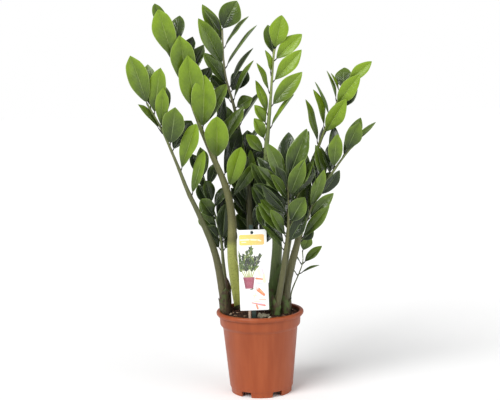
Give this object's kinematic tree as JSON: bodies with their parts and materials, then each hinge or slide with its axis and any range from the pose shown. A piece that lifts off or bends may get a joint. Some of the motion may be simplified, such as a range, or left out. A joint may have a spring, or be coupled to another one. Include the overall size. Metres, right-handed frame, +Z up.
{
  "type": "potted zz plant",
  "caption": "Tall potted foliage plant: arching, thick-based fronds with paired glossy oval leaflets, standing in soil in a round rimmed nursery pot with a blank plant label on a stake.",
  "frame": {"origin": "under the middle of the pot, on the surface that the pot stands on", "axes": "+Z up along the pot's axis, -Y towards the front, where the label stands, +X to the right as seen from the front"},
  "size_m": [0.4763, 0.242, 0.7819],
  "materials": {
    "pot_plastic": "satin injection-moulded terracotta-coloured plastic",
    "potting_soil": "dark crumbly peat with bark and fibres",
    "label_card": null,
    "stake_plastic": "dark green moulded plastic",
    "pale_wood": "plain pale stick",
    "green_stem": "smooth fleshy stem, olive green with darker mottling",
    "green_leaf": "waxy glossy leaflet, yellow-green when young and dark green when old"
  },
  "bodies": {
    "root": {"frond_back": "green_leaf", "frond_centre_leaflet_01": "green_leaf", "frond_centre_leaflet_02": "green_leaf", "frond_centre_leaflet_03": "green_leaf", "frond_centre_leaflet_04": "green_leaf", "frond_centre_leaflet_05": "green_leaf", "frond_centre_leaflet_06": "green_leaf", "frond_centre_leaflet_07": "green_leaf", "frond_centre_leaflet_08": "green_leaf", "frond_centre_leaflet_09": "green_leaf", "frond_centre_leaflet_10": "green_leaf", "frond_centre_leaflet_11": "green_leaf", "frond_centre_leaflet_12": "green_leaf", "frond_centre_stem": "green_stem", "frond_front": "green_leaf", "frond_left_back": "green_leaf", "frond_left_leaflet_01": "green_leaf", "frond_left_leaflet_02": "green_leaf", "frond_left_leaflet_03": "green_leaf", "frond_left_leaflet_04": "green_leaf", "frond_left_leaflet_05": "green_leaf", "frond_left_leaflet_06": "green_leaf", "frond_left_leaflet_07": "green_leaf", "frond_left_leaflet_08": "green_leaf", "frond_left_leaflet_09": "green_leaf", "frond_left_leaflet_10": "green_leaf", "frond_left_stem": "green_stem", "frond_main_leaflet_01": "green_leaf", "frond_main_leaflet_02": "green_leaf", "frond_main_leaflet_03": "green_leaf", "frond_main_leaflet_04": "green_leaf", "frond_main_leaflet_05": "green_leaf", "frond_main_leaflet_06": "green_leaf", "frond_main_leaflet_07": "green_leaf", "frond_main_leaflet_08": "green_leaf", "frond_main_leaflet_09": "green_leaf", "frond_main_leaflet_10": "green_leaf", "frond_main_leaflet_11": "green_leaf", "frond_main_leaflet_12": "green_leaf", "frond_main_leaflet_13": "green_leaf", "frond_main_leaflet_14": "green_leaf", "frond_main_stem": "green_stem", "frond_right_leaflet_01": "green_leaf", "frond_right_leaflet_02": "green_leaf", "frond_right_leaflet_03": "green_leaf", "frond_right_leaflet_04": "green_leaf", "frond_right_leaflet_05": "green_leaf", "frond_right_leaflet_06": "green_leaf", "frond_right_leaflet_07": "green_leaf", "frond_right_leaflet_08": "green_leaf", "frond_right_leaflet_09": "green_leaf", "frond_right_low": "green_leaf", "frond_right_stem": "green_stem", "frond_sprout": "green_leaf", "frond_top": "green_leaf", "label_card": "label_card", "label_stake": "stake_plastic", "pot": "pot_plastic", "soil": "potting_soil", "support_stick": "pale_wood"}
  },
  "joints": []
}
